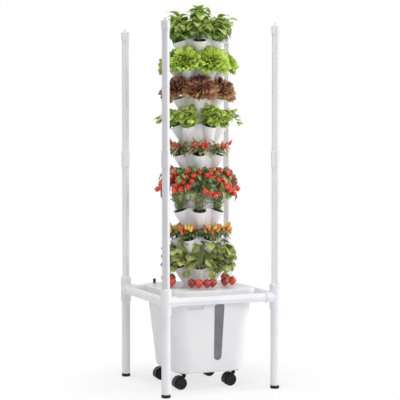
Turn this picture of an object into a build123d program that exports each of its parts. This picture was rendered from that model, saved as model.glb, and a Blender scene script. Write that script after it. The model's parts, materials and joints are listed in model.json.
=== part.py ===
from build123d import *
import os
from math import atan2, cos, degrees, radians, sin, tan

# Hydroponic tower: nine stacked planting tiers on a wheeled tank, inside a pipe frame with lamp poles.
# Millimetres, +Z up, the origin on the floor under the middle of the frame. The front faces -Y.

# Pipe frame
leg_pitch = 540.0  # leg axis to leg axis, both ways
pipe_d = 40.0
pipe_wall = 2.5
foot_h = 15.0  # black foot below the end of the leg
foot_lip = 0.8  # foot stands proud of the pipe
foot_plug = 22.0  # foot's plug inside the leg
foot_round = 3.0
rail_z = 426.0  # height of the rails' axes

# Corner fittings
fitting_wall = 4.4
sleeve_half = 58.0  # upright sleeve, from the rails' axis to either end
branch_reach = 50.0  # side branch, from the leg axis to its mouth
socket_stop = 22.0  # pipe ends stay this far from the fitting's centre
mouth_chamfer = 1.2
core_wall = 3.0  # narrower bore behind the sockets
slip_gap = 0.1  # a pipe in its socket

# Lamp poles
pole_top = 1672.0  # top of the end collar
bar_w = 30.0  # lamp bar, across
housing_depth = 19.0  # back half of the bar
housing_round = 9.0
housing_wall = 1.8
diffuser_depth = 9.0  # front half of the bar
diffuser_round = 6.5
diffuser_wall = 1.5
board_w = 22.0
board_t = 1.6
coupler_z = 1061.0  # middle of the coupler
coupler_len = 75.0
collar_wall = 2.6  # coupler and collars round the bar
coupler_web = 4.0  # between the two bar ends
collar_len = 38.0
collar_top_t = 4.0
collar_bevel = 1.5
stub_w = 17.0
stub_t = 10.0
stub_h = 13.0
plug_seat = 5.0  # base plug's floor under the bar
plug_lip = 2.0
plug_lip_h = 4.0

# Tank
tank_bottom_z = 75.0
tank_top_z = 455.0
tank_bottom_w = 342.0
tank_top_w = 410.0
tank_bottom_r = 74.0
tank_top_r = 62.0
tank_wall = 4.0
tank_floor = 5.0
tank_bottom_round = 14.0
rim_flange = 7.0  # flange outside the tank's mouth
rim_flange_t = 5.0

# Water-level window in the front wall
window_x = 22.0
window_low_z = 133.0
window_high_z = 395.0
window_top_w = 49.0
window_low_w = 37.0
window_top_round = 11.0
window_low_round = 18.0
window_proud = 0.8

# Finger grip on the front wall
grip_x = -95.0
grip_z = 382.0
grip_w = 76.0
grip_h = 16.0
grip_proud = 6.0
grip_lip = 3.0  # left standing below the finger hollow
grip_depth = 2.0  # hollow into the wall
grip_round = 1.2

# Lid
lid_gap = 2.0
lid_wall = 4.0
lid_skirt = 15.0  # below the tank's mouth
lid_t = 5.0
lid_round = 4.0
lid_hole_r = 52.0
filler_x = -168.0
filler_y = 146.0
filler_hole_r = 5.0
filler_boss_r = 9.0
filler_boss_h = 6.0
knob_r = 7.4
knob_h = 22.0
knob_neck_r = 6.0
knob_mid = 45.0  # middle of the dome's arc, degrees
plug_stem = 14.0
lift_gap = 0.3  # curved faces that part when a piece lifts

# Casters
caster_pitch = 250.0
caster_plate_w = 40.0
caster_plate_t = 3.0
caster_plate_r = 6.0
wheel_r = 29.0
wheel_w = 14.0
wheel_round = 3.0
wheel_dish_r = 21.0
wheel_dish = 2.0
axle_r = 3.0
shaft_gap = 0.05  # running fit of a shaft
trail = 20.0  # swivel axis to axle
web_t = 9.0  # hood between the wheels
side_gap = 0.6
hood_gap = 2.0  # hood outside the wheel
hood_t = 2.6
hood_front = 62.0  # hood's arc, degrees up from the front
hood_back = 205.0
swivel_r = 5.0
swivel_len = 11.0
swivel_wall = 3.0
swivel_gap = 0.6

# Tower
tier_count = 9
tier_pitch = 131.5
pocket_count = 6
tower_turn = -110.0  # a pocket of the bottom tier faces this way, degrees from +X
tier_wall = 3.0
foot_ring_r = 72.4  # tier's round lower end, outside
rim_r = 86.0  # tier's body at the rim, between the pockets
dip_h = 88.0  # lowest point of the rim above the tier's base
pocket_tilt = 20.0
pocket_r = 34.0  # pocket at the rim, outside
pocket_tip_r = 8.0
pocket_len = 105.0
pocket_centre_r = 100.0
deck_drop = 4.0  # deck below the rim's edge
deck_t = 2.5
pocket_over = 30.0  # pockets run past the rim before it is cut
neck_gap = 0.4  # neck inside the tier above
neck_lap = 16.0
ledge_w = 8.0
tower_seat = 0.3
cap_t = 3.0
cap_skirt = 12.0
cap_bevel = 1.5

# Net cups
cup_gap = 0.6
cup_lip = 4.0  # flange outside the cup's wall
cup_lip_t = 2.0
cup_len = 48.0
cup_bottom_r = 17.0
cup_wall = 1.6
cup_slots = 6
cup_slot_w = 4.0
cup_slot_len = 28.0
cup_slot_drop = 10.0  # slots begin below the flange
soil_gap = 0.3
soil_drop = 2.0  # soil below the cup's mouth

# Pump and riser
riser_r = 10.0
riser_wall = 2.0
riser_below_cap = 12.0
pump_w = 46.0
pump_len = 62.0
pump_h = 48.0
pump_round = 6.0
chamber_r = 17.0
chamber_depth = 16.0
pump_wall_low = 7.0  # chamber's lower edge above the pump's base
nozzle_h = 18.0
impeller_gap = 1.0
impeller_hub_r = 5.0
impeller_w = 10.0
impeller_shaft = 10.0
impeller_shaft_r = 1.5
blade_t = 1.6
blade_count = 6
strainer_t = 4.0
strainer_slot = 3.0
strainer_turn = 90.0  # slots stand upright
strainer_count = 5

# Plants: how far the foliage stands up and out from the pocket, one kind a tier from the top
basil_up, basil_out, basil_half = 152.0, 30.0, 39.0
lettuce_up, lettuce_out, lettuce_half = 114.0, 34.0, 46.0
red_lettuce_up, red_lettuce_out, red_lettuce_half = 98.0, 32.0, 45.0
mint_up, mint_out, mint_half = 112.0, 54.0, 49.0
chilli_up, chilli_out, chilli_half = 92.0, 28.0, 37.0
tomato_up, tomato_out, tomato_half = 104.0, 58.0, 49.0
rosemary_up, rosemary_out, rosemary_half = 96.0, 26.0, 36.0
orange_up, orange_out, orange_half = 92.0, 28.0, 38.0
strawberry_up, strawberry_out, strawberry_half = 112.0, 48.0, 47.0
crown_sides = 8
crown_low = 14.0  # foliage begins to spread above the soil
crown_low_share = 0.5  # of the full half width
crown_mid_share = 0.5  # height of the widest section
crown_mid_lean = 0.75
crown_top_share = 0.52
stem_r = 11.0
stem_sink = 8.0  # stem's end inside the soil
truss_r = 15.0  # strawberries hanging past the pocket
truss_gap = 6.0
truss_up = 34.0
truss_drop = 76.0

# Sizes that follow
half_pitch = leg_pitch / 2
pipe_r = pipe_d / 2
pipe_bore_r = pipe_r - pipe_wall
socket_r = pipe_r + slip_gap
fitting_r = socket_r + fitting_wall
core_r = pipe_r - core_wall
leg_top = rail_z - socket_stop
sleeve_top = rail_z + sleeve_half
bar_depth = housing_depth + diffuser_depth
bar_low_z = rail_z + socket_stop + plug_seat
collar_low_z = pole_top - collar_len
bar_top_z = pole_top - collar_top_t
tank_lean = degrees(atan2((tank_top_w - tank_bottom_w) / 2, tank_top_z - tank_bottom_z))
flange_w = tank_top_w + 2 * rim_flange
lid_w = flange_w + 2 * (lid_gap + lid_wall)
lid_top = tank_top_z + lid_t
axle_z = wheel_r
foot_bore_r = foot_ring_r - tier_wall
neck_r = foot_bore_r - neck_gap
pocket_centre_h = dip_h + pocket_r * sin(radians(pocket_tilt))
tower_base = lid_top + tower_seat
pocket_step = 360 / pocket_count
pocket_slope = (pocket_r - pocket_tip_r) / pocket_len
cup_lip_r = pocket_r - tier_wall - pocket_slope * deck_drop - cup_gap
cup_mouth_r = cup_lip_r - cup_lip
tower_top = tower_base + tier_count * tier_pitch + neck_lap


def corner_planes(height):
    """Planes at the four corners of the frame, local Y facing the tower."""
    planes = []
    for side_x, side_y in ((-1, -1), (1, -1), (1, 1), (-1, 1)):
        across = (-side_y, side_x, 0)
        origin = (side_x * half_pitch, side_y * half_pitch, height)
        planes.append(Plane(origin=origin, x_dir=across, z_dir=(0, 0, 1)))
    return planes


def tank_width(height):
    """Outside width of the tank's tapered wall at a height."""
    share = (height - tank_bottom_z) / (tank_top_z - tank_bottom_z)
    return tank_bottom_w + share * (tank_top_w - tank_bottom_w)


def tank_corner(height):
    """Outside corner radius of the tank's wall at a height."""
    share = (height - tank_bottom_z) / (tank_top_z - tank_bottom_z)
    return tank_bottom_r + share * (tank_top_r - tank_bottom_r)


def finish(builder, name):
    """Labels a finished piece and writes it."""
    builder.part.label = name
    export_step(builder.part, f"parts/{name}.step")


os.makedirs("parts", exist_ok=True)

# Legs
leg_names = ("leg_front_left", "leg_front_right", "leg_back_right", "leg_back_left")
for leg_name, leg_plane in zip(leg_names, corner_planes(foot_h)):
    with BuildPart() as leg:
        with BuildSketch(leg_plane):
            Circle(pipe_r)
            Circle(pipe_bore_r, mode=Mode.SUBTRACT)
        extrude(amount=leg_top - foot_h)
    finish(leg, leg_name)

# Feet: a thick disc under the pipe with a plug inside it
with BuildPart() as leg_feet:
    with BuildSketch(*corner_planes(0)):
        Circle(pipe_r + foot_lip)
    extrude(amount=foot_h)
    fillet(leg_feet.edges().group_by(Axis.Z)[0], foot_round)
    with BuildSketch(*corner_planes(foot_h)):
        Circle(pipe_bore_r - slip_gap)
    extrude(amount=foot_plug)
finish(leg_feet, "leg_feet")

# Corner fittings: an upright sleeve with two side branches, sockets in all four mouths
with BuildPart() as corner_fittings:
    with BuildSketch(*corner_planes(rail_z - sleeve_half)):
        Circle(fitting_r)
    extrude(amount=2 * sleeve_half)
    for corner in corner_planes(rail_z):
        inward_x = -1 if corner.origin.X > 0 else 1
        inward_y = -1 if corner.origin.Y > 0 else 1
        branches = (
            Plane(origin=corner.origin, z_dir=(inward_x, 0, 0)),
            Plane(origin=corner.origin, z_dir=(0, inward_y, 0)),
        )
        with BuildSketch(*branches):
            Circle(fitting_r)
        extrude(amount=branch_reach)
    mouths = corner_fittings.edges().filter_by(GeomType.CIRCLE)
    chamfer([edge for edge in mouths if edge.radius > socket_r], mouth_chamfer)
    for corner in corner_planes(rail_z):
        inward_x = -1 if corner.origin.X > 0 else 1
        inward_y = -1 if corner.origin.Y > 0 else 1
        ways = ((inward_x, 0, 0), (0, inward_y, 0))
        sockets = [Plane(origin=corner.origin, z_dir=way).offset(socket_stop) for way in ways]
        with BuildSketch(*sockets):
            Circle(socket_r)
        extrude(amount=branch_reach, mode=Mode.SUBTRACT)
        cores = [Plane(origin=corner.origin, z_dir=way) for way in ways]
        with BuildSketch(*cores):
            Circle(core_r)
        extrude(amount=branch_reach, mode=Mode.SUBTRACT)
    with BuildSketch(*corner_planes(rail_z + socket_stop)):
        Circle(socket_r)
    extrude(amount=sleeve_half, mode=Mode.SUBTRACT)
    with BuildSketch(*corner_planes(rail_z - socket_stop)):
        Circle(socket_r)
    extrude(amount=-sleeve_half, mode=Mode.SUBTRACT)
    with BuildSketch(*corner_planes(rail_z - socket_stop)):
        Circle(core_r)
    extrude(amount=2 * socket_stop, mode=Mode.SUBTRACT)
finish(corner_fittings, "corner_fittings")

# Rails between the fittings
rail_start = half_pitch - socket_stop
with BuildPart() as rails:
    starts = (
        Plane(origin=(-rail_start, -half_pitch, rail_z), z_dir=(1, 0, 0)),
        Plane(origin=(-rail_start, half_pitch, rail_z), z_dir=(1, 0, 0)),
        Plane(origin=(-half_pitch, -rail_start, rail_z), z_dir=(0, 1, 0)),
        Plane(origin=(half_pitch, -rail_start, rail_z), z_dir=(0, 1, 0)),
    )
    with BuildSketch(*starts):
        Circle(pipe_r)
        Circle(pipe_bore_r, mode=Mode.SUBTRACT)
    extrude(amount=2 * rail_start)
finish(rails, "rails")


def bar_outline(grow):
    """Sketches the lamp bar's envelope, the housing at the back and the diffuser at the front."""
    depth = bar_depth + 2 * grow
    RectangleRounded(bar_w + 2 * grow, depth, diffuser_round + grow)


# Lamp bars: two on each pole, the lower one in the base plug, the upper one in the coupler
lower_len = coupler_z - coupler_web / 2 - bar_low_z
upper_low_z = coupler_z + coupler_web / 2
upper_len = bar_top_z - upper_low_z
bar_runs = ((bar_low_z, lower_len), (upper_low_z, upper_len))
seam_y = bar_depth / 2 - diffuser_depth  # where housing and diffuser meet

with BuildPart() as lamp_housings:
    for bar_z, bar_len in bar_runs:
        with BuildSketch(*corner_planes(bar_z)):
            with Locations((0, seam_y - housing_depth / 2)):
                RectangleRounded(bar_w, housing_depth, housing_round)
            with Locations((0, seam_y - housing_round / 2)):
                Rectangle(bar_w, housing_round)
            with Locations((0, seam_y - housing_depth / 2)):
                hollow_round = housing_round - housing_wall
                hollow_w = bar_w - 2 * housing_wall
                hollow_d = housing_depth - 2 * housing_wall
                RectangleRounded(hollow_w, hollow_d, hollow_round - housing_wall / 2, mode=Mode.SUBTRACT)
        extrude(amount=bar_len)
finish(lamp_housings, "lamp_housings")

with BuildPart() as lamp_diffusers:
    for bar_z, bar_len in bar_runs:
        with BuildSketch(*corner_planes(bar_z)):
            with Locations((0, seam_y)):
                RectangleRounded(bar_w, 2 * diffuser_depth, diffuser_round)
                inner_w = bar_w - 2 * diffuser_wall
                inner_d = 2 * (diffuser_depth - diffuser_wall)
                RectangleRounded(inner_w, inner_d, diffuser_round - diffuser_wall, mode=Mode.SUBTRACT)
            with Locations((0, seam_y - diffuser_depth)):
                Rectangle(2 * bar_w, 2 * diffuser_depth, mode=Mode.SUBTRACT)
        extrude(amount=bar_len)
finish(lamp_diffusers, "lamp_diffusers")

with BuildPart() as led_boards:
    for bar_z, bar_len in bar_runs:
        with BuildSketch(*corner_planes(bar_z)):
            with Locations((0, seam_y + board_t / 2)):
                Rectangle(board_w, board_t)
        extrude(amount=bar_len)
finish(led_boards, "led_boards")

# Couplers at mid-height
with BuildPart() as lamp_couplers:
    with BuildSketch(*corner_planes(coupler_z - coupler_len / 2)):
        bar_outline(slip_gap + collar_wall)
    extrude(amount=coupler_len)
    ends = lamp_couplers.faces().filter_by(Axis.Z)
    chamfer(ends.edges(), collar_bevel)
    with BuildSketch(*corner_planes(coupler_z + coupler_web / 2)):
        bar_outline(slip_gap)
    extrude(amount=coupler_len, mode=Mode.SUBTRACT)
    with BuildSketch(*corner_planes(coupler_z - coupler_web / 2)):
        bar_outline(slip_gap)
    extrude(amount=-coupler_len, mode=Mode.SUBTRACT)
finish(lamp_couplers, "lamp_couplers")

# End collars with a connector stub on top
with BuildPart() as lamp_end_collars:
    with BuildSketch(*corner_planes(collar_low_z)):
        bar_outline(slip_gap + collar_wall)
    extrude(amount=collar_len)
    ends = lamp_end_collars.faces().filter_by(Axis.Z)
    chamfer(ends.edges(), collar_bevel)
    with BuildSketch(*corner_planes(collar_low_z)):
        bar_outline(slip_gap)
    extrude(amount=collar_len - collar_top_t, mode=Mode.SUBTRACT)
    with BuildSketch(*corner_planes(pole_top)):
        RectangleRounded(stub_w, stub_t, collar_bevel)
    extrude(amount=stub_h)
finish(lamp_end_collars, "lamp_end_collars")

# Base plugs: round outside for the fitting, a pocket inside for the bar
with BuildPart() as lamp_base_plugs:
    with BuildSketch(*corner_planes(rail_z + socket_stop)):
        Circle(pipe_r)
    extrude(amount=sleeve_half - socket_stop)
    with BuildSketch(*corner_planes(sleeve_top)):
        Circle(pipe_r + plug_lip)
    extrude(amount=plug_lip_h)
    lips = lamp_base_plugs.edges().group_by(Axis.Z)[-1]
    chamfer(lips, collar_bevel)
    with BuildSketch(*corner_planes(bar_low_z)):
        bar_outline(slip_gap)
    extrude(amount=sleeve_half, mode=Mode.SUBTRACT)
finish(lamp_base_plugs, "lamp_base_plugs")

# Tank: a tapered rounded square, open on top, with a flange round its mouth
wall_lean = Plane(
    origin=(0, -tank_width(window_low_z) / 2, window_low_z),
    x_dir=(1, 0, 0),
    z_dir=(0, -cos(radians(tank_lean)), -sin(radians(tank_lean))),
)
window_run = (window_high_z - window_low_z) / cos(radians(tank_lean))
grip_run = (grip_z - window_low_z) / cos(radians(tank_lean))


def window_outline(grow):
    """The water-level window's outline, wider at the top, from its lowest point up the wall."""
    low_half = window_low_w / 2 + grow
    high_half = window_top_w / 2 + grow
    with BuildSketch() as outline:
        with BuildLine():
            Polyline(
                (window_x - low_half, -grow),
                (window_x + low_half, -grow),
                (window_x + high_half, window_run + grow),
                (window_x - high_half, window_run + grow),
                close=True,
            )
        make_face()
        fillet(outline.vertices().group_by(Axis.Y)[0], window_low_round)
        fillet(outline.vertices().group_by(Axis.Y)[-1], window_top_round)
    return outline.sketch


with BuildPart() as tank:
    with BuildSketch(Plane.XY.offset(tank_bottom_z)):
        RectangleRounded(tank_bottom_w, tank_bottom_w, tank_bottom_r)
    with BuildSketch(Plane.XY.offset(tank_top_z)):
        RectangleRounded(tank_top_w, tank_top_w, tank_top_r)
    loft(ruled=True)
    fillet(tank.edges().group_by(Axis.Z)[0], tank_bottom_round)
    with BuildSketch(Plane.XY.offset(tank_top_z - rim_flange_t)):
        RectangleRounded(flange_w, flange_w, tank_top_r + rim_flange)
    extrude(amount=rim_flange_t)
    floor_top = tank_bottom_z + tank_floor
    for level in (floor_top, tank_top_z):
        with BuildSketch(Plane.XY.offset(level)):
            inside = tank_width(level) - 2 * tank_wall
            RectangleRounded(inside, inside, tank_corner(level) - tank_wall)
    loft(ruled=True, mode=Mode.SUBTRACT)
    with BuildSketch(wall_lean):
        add(window_outline(slip_gap))
    extrude(amount=-3 * tank_wall, mode=Mode.SUBTRACT)
    with BuildSketch(wall_lean):
        with Locations((grip_x, grip_run)):
            SlotOverall(grip_w, grip_h)
    extrude(amount=grip_proud)
    wall_out = Axis(wall_lean.origin, wall_lean.z_dir)
    grip_face = tank.faces().filter_by(wall_lean).sort_by(wall_out)[-1]
    fillet(grip_face.edges(), grip_round)
    with BuildSketch(wall_lean.offset(grip_proud)):
        with Locations((grip_x, grip_run + grip_lip)):
            SlotOverall(grip_w - 2 * grip_lip, grip_h)
    extrude(amount=-(grip_proud + grip_depth), mode=Mode.SUBTRACT)
finish(tank, "tank")

with BuildPart() as level_window:
    with BuildSketch(wall_lean.offset(-tank_wall)):
        add(window_outline(0))
    extrude(amount=tank_wall + window_proud)
finish(level_window, "level_window")

# Lid: a shallow cap over the tank's flange, with the spigot that carries the tower
with BuildPart() as lid:
    with BuildSketch(Plane.XY.offset(tank_top_z - lid_skirt)):
        RectangleRounded(lid_w, lid_w, tank_top_r + rim_flange + lid_gap + lid_wall)
    extrude(amount=lid_skirt + lid_t)
    fillet(lid.edges().group_by(Axis.Z)[-1], lid_round)
    with BuildSketch(Plane.XY.offset(tank_top_z - lid_skirt)):
        skirt_inside = lid_w - 2 * lid_wall
        RectangleRounded(skirt_inside, skirt_inside, tank_top_r + rim_flange + lid_gap)
    extrude(amount=lid_skirt, mode=Mode.SUBTRACT)
    with BuildSketch(Plane.XY.offset(lid_top)):
        Circle(neck_r)
    extrude(amount=tower_seat + neck_lap)
    with BuildSketch(Plane.XY.offset(lid_top)):
        Circle(neck_r - tier_wall)
    extrude(amount=tower_seat + neck_lap, mode=Mode.SUBTRACT)
    with BuildSketch(Plane.XY.offset(tank_top_z)):
        Circle(lid_hole_r)
    extrude(amount=lid_t, mode=Mode.SUBTRACT)
    with BuildSketch(Plane.XY.offset(lid_top)):
        with Locations((filler_x, filler_y)):
            Circle(filler_boss_r)
    extrude(amount=filler_boss_h)
    with BuildSketch(Plane.XY.offset(tank_top_z)):
        with Locations((filler_x, filler_y)):
            Circle(filler_hole_r)
    extrude(amount=lid_t + filler_boss_h, mode=Mode.SUBTRACT)
finish(lid, "lid")

# Filler plug: an egg-shaped knob on a stem in the lid's boss
boss_top = lid_top + filler_boss_h
with BuildPart() as filler_plug:
    with BuildSketch(Plane(origin=(filler_x, filler_y, boss_top), x_dir=(1, 0, 0), z_dir=(0, -1, 0))):
        with BuildLine():
            plug_r = filler_hole_r - lift_gap
            dome_h = knob_h - knob_r
            dome_mid = (knob_r * sin(radians(knob_mid)), dome_h + knob_r * cos(radians(knob_mid)))
            Polyline((0, -plug_stem), (plug_r, -plug_stem), (plug_r, 0), (knob_r, 0))
            Polyline((knob_r, 0), (knob_neck_r, knob_h / 4), (knob_r, dome_h))
            ThreePointArc((knob_r, dome_h), dome_mid, (0, knob_h))
            Line((0, knob_h), (0, -plug_stem))
        make_face()
    revolve(axis=Axis((filler_x, filler_y, 0), (0, 0, 1)))
finish(filler_plug, "filler_plug")

# Casters: a plate with the swivel pin under the tank, a hood on the pin, a wheel pair in the hood
caster_names = ("front_left", "front_right", "back_right", "back_left")
caster_half = caster_pitch / 2
caster_spots = ((-1, -1), (1, -1), (1, 1), (-1, 1))
plate_low_z = tank_bottom_z - caster_plate_t
hood_top_z = plate_low_z - swivel_gap
stem_low_z = hood_top_z - swivel_len - swivel_wall
hood_r = wheel_r + hood_gap

with BuildPart() as caster_plates:
    with BuildSketch(Plane.XY.offset(plate_low_z)):
        with Locations(*[(sx * caster_half, sy * caster_half) for sx, sy in caster_spots]):
            RectangleRounded(caster_plate_w, caster_plate_w, caster_plate_r)
    extrude(amount=caster_plate_t)
    with BuildSketch(Plane.XY.offset(plate_low_z)):
        with Locations(*[(sx * caster_half, sy * caster_half) for sx, sy in caster_spots]):
            Circle(swivel_r)
    extrude(amount=-(swivel_gap + swivel_len))
finish(caster_plates, "caster_plates")

for caster_name, (side_x, side_y) in zip(caster_names, caster_spots):
    swivel_x = side_x * caster_half
    caster_y = side_y * caster_half
    axle_x = swivel_x - trail
    middle = Plane(origin=(axle_x, caster_y, axle_z), x_dir=(1, 0, 0), z_dir=(0, -1, 0))
    with BuildPart() as caster_hood:
        with BuildSketch(middle):
            with BuildLine():
                front = Vector(hood_r, 0).rotate(Axis.Z, hood_front)
                top = Vector(hood_r, 0).rotate(Axis.Z, (hood_front + hood_back) / 2)
                back = Vector(hood_r, 0).rotate(Axis.Z, hood_back)
                ThreePointArc(front, top, back)
                Line(back, (0, 0))
                Line((0, 0), front)
            make_face()
            Circle(wheel_dish_r - wheel_round)
            with Locations((trail, (stem_low_z + hood_top_z) / 2 - axle_z)):
                Rectangle(2 * (swivel_r + swivel_wall), hood_top_z - stem_low_z)
            with BuildLine():
                knee = (trail + swivel_r + swivel_wall, stem_low_z - axle_z)
                Polyline((0, 0), knee, (trail - swivel_r - swivel_wall, hood_r), close=True)
            make_face()
        extrude(amount=web_t / 2, both=True)
        fender_w = web_t / 2 + side_gap + wheel_w
        with BuildSketch(middle):
            with BuildLine():
                outer = CenterArc((0, 0), hood_r + hood_t, hood_front, hood_back - hood_front)
                inner = CenterArc((0, 0), hood_r, hood_front, hood_back - hood_front)
                Line(outer @ 0, inner @ 0)
                Line(outer @ 1, inner @ 1)
            make_face()
        extrude(amount=fender_w, both=True)
        with BuildSketch(Plane.XY.offset(stem_low_z)):
            with Locations((swivel_x, caster_y)):
                Circle(swivel_r + swivel_wall)
        extrude(amount=hood_top_z - stem_low_z)
        with BuildSketch(Plane.XY.offset(hood_top_z)):
            with Locations((swivel_x, caster_y)):
                Circle(swivel_r + shaft_gap)
        extrude(amount=-(swivel_len + swivel_gap), mode=Mode.SUBTRACT)
        with BuildSketch(middle):
            Circle(axle_r + shaft_gap)
        extrude(amount=web_t, both=True, mode=Mode.SUBTRACT)
    finish(caster_hood, f"caster_hood_{caster_name}")

    with BuildPart() as caster_wheels:
        inner_face = web_t / 2 + side_gap
        outer_face = inner_face + wheel_w
        with BuildSketch(Plane(origin=(axle_x, caster_y, axle_z), x_dir=(0, 1, 0), z_dir=(1, 0, 0))):
            with BuildLine():
                Polyline(
                    (0, 0),
                    (0, axle_r),
                    (inner_face, axle_r),
                    (inner_face, wheel_r - wheel_round),
                    (inner_face + wheel_round, wheel_r),
                    (outer_face - wheel_round, wheel_r),
                    (outer_face, wheel_r - wheel_round),
                    (outer_face, wheel_dish_r),
                    (outer_face - wheel_dish, wheel_dish_r - wheel_dish),
                    (outer_face - wheel_dish, 0),
                    close=True,
                )
            make_face()
            mirror(about=Plane.YZ)
        revolve(axis=Axis((axle_x, caster_y, axle_z), (0, 1, 0)))
    finish(caster_wheels, f"caster_wheels_{caster_name}")

# Pump on the tank floor, its outlet under the middle of the tower
pump_base = floor_top
chamber_z = pump_base + pump_wall_low + chamber_r
pump_front = pump_len / 2
with BuildPart() as pump_body:
    with BuildSketch(Plane.XY.offset(pump_base)):
        RectangleRounded(pump_len, pump_w, pump_round)
    extrude(amount=pump_h)
    with BuildSketch(Plane.XY.offset(pump_base + pump_h)):
        Circle(riser_r + riser_wall)
    extrude(amount=nozzle_h)
    with BuildSketch(Plane.XY.offset(pump_base + pump_h)):
        Circle(riser_r + slip_gap)
    extrude(amount=nozzle_h, mode=Mode.SUBTRACT)
    with BuildSketch(Plane.YZ.offset(pump_front)):
        with Locations((0, chamber_z)):
            Circle(chamber_r)
    extrude(amount=-chamber_depth, mode=Mode.SUBTRACT)
    with BuildSketch(Plane.YZ.offset(pump_front - chamber_depth)):
        with Locations((0, chamber_z)):
            Circle(impeller_shaft_r + shaft_gap)
    extrude(amount=-impeller_shaft, mode=Mode.SUBTRACT)
    with BuildSketch(Plane.XY.offset(pump_base + pump_h)):
        Circle(riser_r - riser_wall)
    extrude(amount=-(pump_h - pump_wall_low - 2 * chamber_r + riser_wall), mode=Mode.SUBTRACT)
finish(pump_body, "pump_body")

with BuildPart() as pump_strainer:
    with BuildSketch(Plane.YZ.offset(pump_front)):
        with Locations((0, chamber_z)):
            Circle(chamber_r + riser_wall)
            with GridLocations(2 * strainer_slot, 0, strainer_count, 1):
                SlotOverall(chamber_r, strainer_slot, rotation=strainer_turn, mode=Mode.SUBTRACT)
    extrude(amount=strainer_t)
finish(pump_strainer, "pump_strainer")

with BuildPart() as pump_impeller:
    hub_start = pump_front - chamber_depth + impeller_gap
    blade_tip_r = chamber_r - impeller_gap
    with BuildSketch(Plane.YZ.offset(hub_start)):
        with Locations((0, chamber_z)):
            Circle(impeller_hub_r)
            with PolarLocations((impeller_hub_r + blade_tip_r) / 2, blade_count):
                Rectangle(blade_tip_r - impeller_hub_r + blade_t, blade_t)
    extrude(amount=impeller_w)
    with BuildSketch(Plane.YZ.offset(hub_start)):
        with Locations((0, chamber_z)):
            Circle(impeller_shaft_r)
    extrude(amount=-impeller_shaft)
finish(pump_impeller, "pump_impeller")

# Riser pipe from the pump to the top of the tower
with BuildPart() as riser_pipe:
    with BuildSketch(Plane.XY.offset(pump_base + pump_h)):
        Circle(riser_r)
        Circle(riser_r - riser_wall, mode=Mode.SUBTRACT)
    extrude(amount=tower_top - riser_below_cap - pump_base - pump_h)
finish(riser_pipe, "riser_pipe")

# Cap over the neck of the top tier
with BuildPart() as top_cap:
    with BuildSketch(Plane.XY.offset(tower_top - cap_skirt)):
        Circle(foot_ring_r)
    extrude(amount=cap_skirt + cap_t)
    chamfer(top_cap.edges().group_by(Axis.Z)[-1], cap_bevel)
    with BuildSketch(Plane.XY.offset(tower_top - cap_skirt)):
        Circle(foot_bore_r)
    extrude(amount=cap_skirt, mode=Mode.SUBTRACT)
finish(top_cap, "top_cap")

# Tier, built once at the floor with a pocket facing +X
pocket_planes = []
for number in range(pocket_count):
    turn = radians(number * pocket_step)
    lean_out = sin(radians(pocket_tilt))
    axis_up = (lean_out * cos(turn), lean_out * sin(turn), cos(radians(pocket_tilt)))
    mouth = (pocket_centre_r * cos(turn), pocket_centre_r * sin(turn), pocket_centre_h)
    across = (-sin(turn), cos(turn), 0)
    pocket_planes.append(Plane(origin=mouth, x_dir=across, z_dir=axis_up))


def tier_form(inset):
    """The tier's body and pockets as one full form, every wall moved in by the inset."""
    with BuildPart() as form:
        with BuildSketch(Plane.XZ):
            with BuildLine():
                Polyline(
                    (0, 0),
                    (foot_ring_r - inset, 0),
                    (foot_ring_r - inset, neck_lap),
                    (rim_r - inset, dip_h),
                    (rim_r - inset, dip_h + pocket_over),
                    (0, dip_h + pocket_over),
                    close=True,
                )
            make_face()
        revolve(axis=Axis.Z)
        with Locations(*[plane.offset(-pocket_len) for plane in pocket_planes]):
            Cone(
                pocket_tip_r - inset,
                pocket_r + pocket_slope * pocket_over - inset,
                pocket_len + pocket_over,
                align=(Align.CENTER, Align.CENTER, Align.MIN),
            )
    return form.part


def rim_roof(drop):
    """A low six-sided roof whose faces hold the pockets' mouths, lowered by the drop."""
    rise = tan(radians(pocket_tilt))
    face_h = pocket_centre_h - drop / cos(radians(pocket_tilt))
    with BuildPart() as roof:
        for level in (0, dip_h + pocket_over):
            apothem = pocket_centre_r + (face_h - level) / rise
            with BuildSketch(Plane.XY.offset(level)):
                RegularPolygon(apothem, pocket_count, major_radius=False, rotation=pocket_step / 2)
        loft(ruled=True)
    return roof.part


inner_form = tier_form(tier_wall)

# Hollow under the deck
with BuildPart() as cavity:
    add(inner_form)
    add(rim_roof(deck_drop + deck_t), mode=Mode.INTERSECT)

# Shallow recess above the deck
with BuildPart() as recess:
    add(inner_form)
    add(rim_roof(deck_drop), mode=Mode.SUBTRACT)

with BuildPart() as tier:
    add(tier_form(0))
    add(rim_roof(0), mode=Mode.INTERSECT)
    add(cavity.part, mode=Mode.SUBTRACT)
    add(recess.part, mode=Mode.SUBTRACT)
    with BuildSketch(*pocket_planes):
        Circle(cup_mouth_r + cup_gap)
    extrude(amount=-2 * (deck_drop + deck_t), mode=Mode.SUBTRACT)
    with BuildSketch(Plane.XY.offset(pocket_centre_h)):
        Circle(neck_r)
    extrude(amount=tier_pitch + neck_lap - pocket_centre_h)
    with BuildSketch(Plane.XY.offset(dip_h)):
        Circle(neck_r - tier_wall)
    extrude(amount=tier_pitch + neck_lap - dip_h, mode=Mode.SUBTRACT)
    with BuildSketch(Plane.XY.offset(neck_lap)):
        Circle(foot_ring_r - tier_wall / 2)
        Circle(foot_bore_r - ledge_w, mode=Mode.SUBTRACT)
    extrude(amount=deck_t)

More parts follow.
